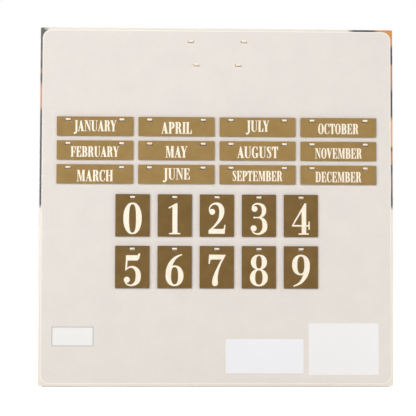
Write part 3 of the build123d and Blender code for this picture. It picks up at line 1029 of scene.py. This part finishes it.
SEVEN = ink(
    [(-24.4, 99.5), (28, 99.5), (28, 97.5), (25.2, 92.2), (11.5, 84)]
    + [(-17, 84), (-20.6, 80.5), (-21.8, 71), (-26.4, 70.5)],
    stroke(
        (22.8, 93.5, 5.5),
        (12.5, 74, 6),
        (3.5, 54, 8.5),
        (-2.6, 35, 13),
        (-5.2, 20, 17),
        (-5.5, 10, 18.6),
    ),
    oval(-5.5, 9.6, 9.3, 9.6),
)
EIGHT = ink(oval(0.2, 76, 25.6, 24.3, 2.1), oval(0, 27.2, 28.4, 27.5, 2.1)) + gap(
    oval(0.2, 76, 9, 20, 2.5), oval(0, 27.6, 11.6, 22.6, 2.5)
)
NINE = half_turned(SIX, 0)
NUMERALS = (ZERO, ONE, TWO, THREE, FOUR, FIVE, SIX, SEVEN, EIGHT, NINE)


def screen_on(name, shapes, card):
    """Merges the shapes, each over the ones before it, into one raised print on a card's front."""
    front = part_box(card)[0].y
    points, outlines = [], []
    for _, outline in shapes:
        area = sum(a[0] * b[1] - b[0] * a[1] for a, b in zip(outline, outline[1:] + outline[:1]))
        outlines.append([len(points) + i for i in range(len(outline))])
        points += [Vector(p) for p in (outline if area > 0 else outline[::-1])]
    corners, _, triangles, _, _, owners = delaunay_2d_cdt(points, [], outlines, 1, SAME_CORNER)
    inked = [t for t, over in zip(triangles, owners) if over and shapes[max(over)][0]]
    used = sorted({corner for t in inked for corner in t})
    number = {corner: i for i, corner in enumerate(used)}
    faces = [[number[corner] for corner in t] for t in inked]
    edges = {(t[i], t[(i + 1) % 3]) for t in faces for i in range(3)}
    count = len(used)
    vertices = [(corners[i].x, front - RAISED, corners[i].y) for i in used]
    vertices += [(x, front + SUNK, z) for x, _, z in vertices]
    faces += [[i + count for i in reversed(t)] for t in faces]
    faces += [(b, a, a + count, b + count) for a, b in sorted(edges) if (b, a) not in edges]
    mesh = bpy.data.meshes.new(name)
    mesh.from_pydata(vertices, [], faces)
    mesh.materials.append(cream_enamel)
    lettering = new_object(name, mesh)
    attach(lettering, card)


# Each name's capital height, its width, and its foot's height above the card's lower edge, in mm
NAMES = {
    "january": (6.3, 24.4, 2.55),
    "february": (6.0, 27.4, 1.6),
    "march": (6.5, 20.6, 1.3),
    "april": (6.7, 17.5, 1.4),
    "may": (6.6, 12.5, 1.4),
    "june": (6.5, 15.4, 2.55),
    "july": (6.5, 13.5, 2.8),
    "august": (6.6, 23.6, 1.4),
    "september": (5.9, 28.6, 1.8),
    "october": (6.0, 23.4, 1.7),
    "november": (6.0, 27.2, 1.3),
    "december": (6.0, 26.5, 1.4),
}
for name, (height, width, foot) in NAMES.items():
    card = f"month_card_{name}"
    low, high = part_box(card)
    pen, shapes = 0, []
    for letter, following in zip(name.upper(), name.upper()[1:] + " "):
        advance, strokes = LETTERS[letter]
        shapes += [(kind, [(x + pen, y) for x, y in outline]) for kind, outline in strokes]
        pen += advance + TRACKING + KERNS.get(letter + following, 0)
    reach = [x for kind, outline in shapes if kind for x, _ in outline]
    across = width * MM / (max(reach) - min(reach))
    up = height * MM / CAPITAL
    start = (low.x + high.x - width * MM) / 2 - min(reach) * across
    base = low.z + foot * MM
    screen_on(
        f"lettering_{name}",
        [(kind, [(start + x * across, base + y * up) for x, y in points]) for kind, points in shapes],
        card,
    )

NUMERAL_HEIGHT = 18.0 * MM
NUMERAL_FOOT = 1.35 * MM
for number, shapes in enumerate(NUMERALS):
    card = f"number_card_{number}"
    low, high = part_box(card)
    middle, base, unit = (low.x + high.x) / 2, low.z + NUMERAL_FOOT, NUMERAL_HEIGHT / CAPITAL
    screen_on(
        f"numeral_{number}",
        [(kind, [(middle + x * unit, base + y * unit) for x, y in points]) for kind, points in shapes],
        card,
    )

# ---------------------------------------------------------------- back board and easel wing
# Both are cut from hardboard with rounded, eased edges. They are stained walnut brown and waxed
# before the hinges are riveted on.

PRESSED_FIBRE = 1.1 * MM
FIBRE_DEPTH = 0.06 * MM
STAIN_DRIFT = 35 * MM

# Stained hardboard: a dense brown with faint fibre flecks from the press and a dull wax sheen.
hardboard, tree, surface, place = new_finish("stained_hardboard")
flecks = add_node(
    tree,
    "ShaderNodeTexNoise",
    {"Vector": place, "Scale": 1 / PRESSED_FIBRE, "Detail": 6.0, "Roughness": 0.75},
)
drift = add_node(
    tree, "ShaderNodeTexNoise", {"Vector": place, "Scale": 1 / STAIN_DRIFT, "Detail": 3.0}
)
stain = add_node(
    tree, "ShaderNodeMix", {"Factor": drift, "A": "#80603F", "B": "#64462B"}, data_type="RGBA"
)
for low, high, share, tone in ((0.54, 0.74, 0.8, "#A07E57"), (0.44, 0.3, 0.8, "#4B331F")):
    found = add_node(
        tree,
        "ShaderNodeMapRange",
        {"Value": flecks, "From Min": low, "From Max": high, "To Max": share},
    )
    stain = add_node(
        tree, "ShaderNodeMix", {"Factor": found, "A": stain, "B": tone}, data_type="RGBA"
    )
wax = add_node(tree, "ShaderNodeMapRange", {"Value": flecks, "To Min": 0.38, "To Max": 0.62})
pressed = add_node(
    tree, "ShaderNodeBump", {"Height": flecks, "Strength": 0.25, "Distance": FIBRE_DEPTH}
)
set_inputs(surface, {"Base Color": stain, "Roughness": wax, "Normal": pressed})
give(hardboard, "back_board", "easel_wing")

# ---------------------------------------------------------------- hinges and turn buttons
# Two small butt hinges carry the wing, and four flat buttons hold the back board in. All are cut
# from rolled brass strip, brushed along their length and lacquered.

BRUSH_WIDTH = 0.4 * MM  # real brush lines are finer, and wouldn't show
BRUSH_LENGTH = 11 * MM
BRUSH_DEPTH = 0.02 * MM
FINGER_MARK = 5 * MM
TARNISH_DULLING = 0.15
LEAVES_AND_PINS = [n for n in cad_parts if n.startswith("hinge_") and "rivets" not in n]
BUTTONS = [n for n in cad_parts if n.startswith("turn_button_") and "screws" not in n]

# Brushed brass: fine lines along each piece, and duller browner patches where fingers reach.
for name, along, nodes in (
    ("brushed_brass_upright", 2, LEAVES_AND_PINS),
    ("brushed_brass_level", 0, BUTTONS),
):
    brass, tree, surface, place = new_finish(name)
    scale = [1 / BRUSH_WIDTH] * 3
    scale[along] = 1 / BRUSH_LENGTH
    stretched = add_node(tree, "ShaderNodeMapping", {"Vector": place, "Scale": tuple(scale)})
    lines = add_node(
        tree, "ShaderNodeTexNoise", {"Vector": stretched, "Scale": 1.0, "Detail": 4.0}
    )
    handling = add_node(
        tree,
        "ShaderNodeTexNoise",
        {"Vector": place, "Scale": 1 / FINGER_MARK, "Detail": 5.0, "Roughness": 0.7},
    )
    tarnish = add_node(
        tree, "ShaderNodeMapRange", {"Value": handling, "From Min": 0.48, "From Max": 0.75}
    )
    metal = add_node(
        tree, "ShaderNodeMix", {"Factor": tarnish, "A": "#DDBB78", "B": "#AE8B52"}, data_type="RGBA"
    )
    streaks = add_node(
        tree, "ShaderNodeMapRange", {"Value": lines, "To Min": 0.22, "To Max": 0.44}
    )
    dulled = add_node(
        tree,
        "ShaderNodeMath",
        {0: tarnish, 1: TARNISH_DULLING, 2: streaks},
        operation="MULTIPLY_ADD",
    )
    scored = add_node(
        tree, "ShaderNodeBump", {"Height": lines, "Strength": 0.15, "Distance": BRUSH_DEPTH}
    )
    set_inputs(
        surface, {"Base Color": metal, "Metallic": 1.0, "Roughness": dulled, "Normal": scored}
    )
    give(brass, *nodes)

# ---------------------------------------------------------------- rivets and screws
# Domed rivets hold the hinge leaves, and cross-head screws carry the turn buttons. Both are
# nickel-plated steel.

HAZE_PATCH = 1.5 * MM

# Nickel plate: a bright slightly yellow grey under a light haze from handling.
nickel, tree, surface, place = new_finish("nickel_plated_steel")
haze = add_node(
    tree,
    "ShaderNodeTexNoise",
    {"Vector": place, "Scale": 1 / HAZE_PATCH, "Detail": 5.0, "Roughness": 0.7},
)
plate = add_node(
    tree, "ShaderNodeMix", {"Factor": haze, "A": "#D2D1CC", "B": "#A9A8A4"}, data_type="RGBA"
)
smear = add_node(tree, "ShaderNodeMapRange", {"Value": haze, "To Min": 0.14, "To Max": 0.42})
set_inputs(surface, {"Base Color": plate, "Metallic": 1.0, "Roughness": smear})
give(nickel, "hinge_rivets_board", "hinge_rivets_wing", "turn_button_screws")

# ---------------------------------------------------------------- felt
# Strips of pressed wool felt are glued under the case and under the wing's foot, so that neither
# scratches the desk.

WOOL_FIBRE = 0.4 * MM
NAP_DEPTH = 0.15 * MM

# Pressed wool felt: matt oatmeal with paler and darker fibres and a soft halo of loose ones.
felt, tree, surface, place = new_finish("pressed_wool_felt")
fibres = add_node(
    tree,
    "ShaderNodeTexNoise",
    {"Vector": place, "Scale": 1 / WOOL_FIBRE, "Detail": 6.0, "Roughness": 0.8},
)
contrast = add_node(
    tree, "ShaderNodeMapRange", {"Value": fibres, "From Min": 0.35, "From Max": 0.7}
)
wool = add_node(
    tree, "ShaderNodeMix", {"Factor": contrast, "A": "#EAE6DF", "B": "#FDFBF7"}, data_type="RGBA"
)
nap = add_node(tree, "ShaderNodeBump", {"Height": fibres, "Strength": 0.6, "Distance": NAP_DEPTH})
set_inputs(
    surface, {"Base Color": wool, "Roughness": 0.95, "Sheen Weight": 0.35, "Normal": nap}
)
give(felt, "base_felt", "wing_felt")

# ---------------------------------------------------------------- floor, lights and camera
# The calendar stands on a plain pale floor in a soft studio. The background reads white, and the
# floor keeps the shadow.

FLOOR_REACH = 3.0
WORLD_LEVEL = 0.1
FLOOR_GLOW = 0.93
LIGHTS_AIM = Vector((0, 0, 0.1))
floor_mesh = bpy.data.meshes.new("floor")
floor_mesh.from_pydata(
    [(x * FLOOR_REACH, y * FLOOR_REACH, 0) for x, y in ((-1, -1), (1, -1), (1, 1), (-1, 1))],
    [],
    [(0, 1, 2, 3)],
)
floor = new_object("floor", floor_mesh)

# White floor: a matt white that the camera and reflections see a little brighter than it is.
white_floor, _, surface, _ = new_finish("matt_white_floor")
floor_mesh.materials.append(white_floor)
set_inputs(surface, {"Base Color": "#F2F1EF", "Roughness": 0.9, "Emission Color": "#FFFFFF"})
world = bpy.data.worlds.new("studio")
world.use_nodes = True
bpy.context.scene.world = world
background = world.node_tree.nodes["Background"]
set_inputs(background, {"Color": "#FFFFFF"})
for node, key, unseen_level, seen_level in (
    (surface, "Emission Strength", 0.0, FLOOR_GLOW),
    (background, "Strength", WORLD_LEVEL, 1.0),
):
    tree = node.id_data
    rays = add_node(tree, "ShaderNodeLightPath", {}).outputs
    seen = rays["Is Camera Ray"]
    for kind in ("Is Glossy Ray", "Is Transmission Ray"):
        seen = add_node(tree, "ShaderNodeMath", {0: seen, 1: rays[kind]}, operation="MAXIMUM")
    level = add_node(
        tree, "ShaderNodeMapRange", {"Value": seen, "To Min": unseen_level, "To Max": seen_level}
    )
    set_inputs(node, {key: level})

for name, place, size, power in (
    ("key_light", (-0.5, -1.6, 0.34), 1.0, 16.2),
    ("fill_light", (0.6, -1.6, 0.3), 1.2, 5.8),
    ("left_light", (-1.4, 0.4, 0.4), 0.7, 8.0),
    ("right_light", (1.4, 0.4, 0.4), 0.7, 7.6),
    ("back_light", (0.3, 1.1, 1.2), 1.2, 10.5),
):
    lamp = bpy.data.lights.new(name, "AREA")
    lamp.shape = "DISK"
    lamp.size = size
    lamp.energy = power
    light = new_object(name, lamp)
    light.location = place
    light.rotation_euler = (LIGHTS_AIM - light.location).to_track_quat("-Z", "Y").to_euler()

CAMERA_PLACE = (-0.0241, -0.6994, 0.0716)
CAMERA_PITCH = 0.045  # up from level
CAMERA_ROLL = -0.003
CAMERA_YAW = -0.028
LENS = 103.5  # this and the sensor's width are in mm, as the camera takes them
SENSOR_WIDTH = 36.0
NEAR_CLIP = 10 * MM
camera_data = bpy.data.cameras.new("camera")
camera_data.lens = LENS
camera_data.sensor_width = SENSOR_WIDTH
camera_data.clip_start = NEAR_CLIP
camera = new_object("camera", camera_data)
camera.location = CAMERA_PLACE
camera.rotation_euler = (math.pi / 2 + CAMERA_PITCH, CAMERA_ROLL, CAMERA_YAW)
bpy.context.scene.camera = camera
bpy.context.scene.view_settings.view_transform = "Standard"
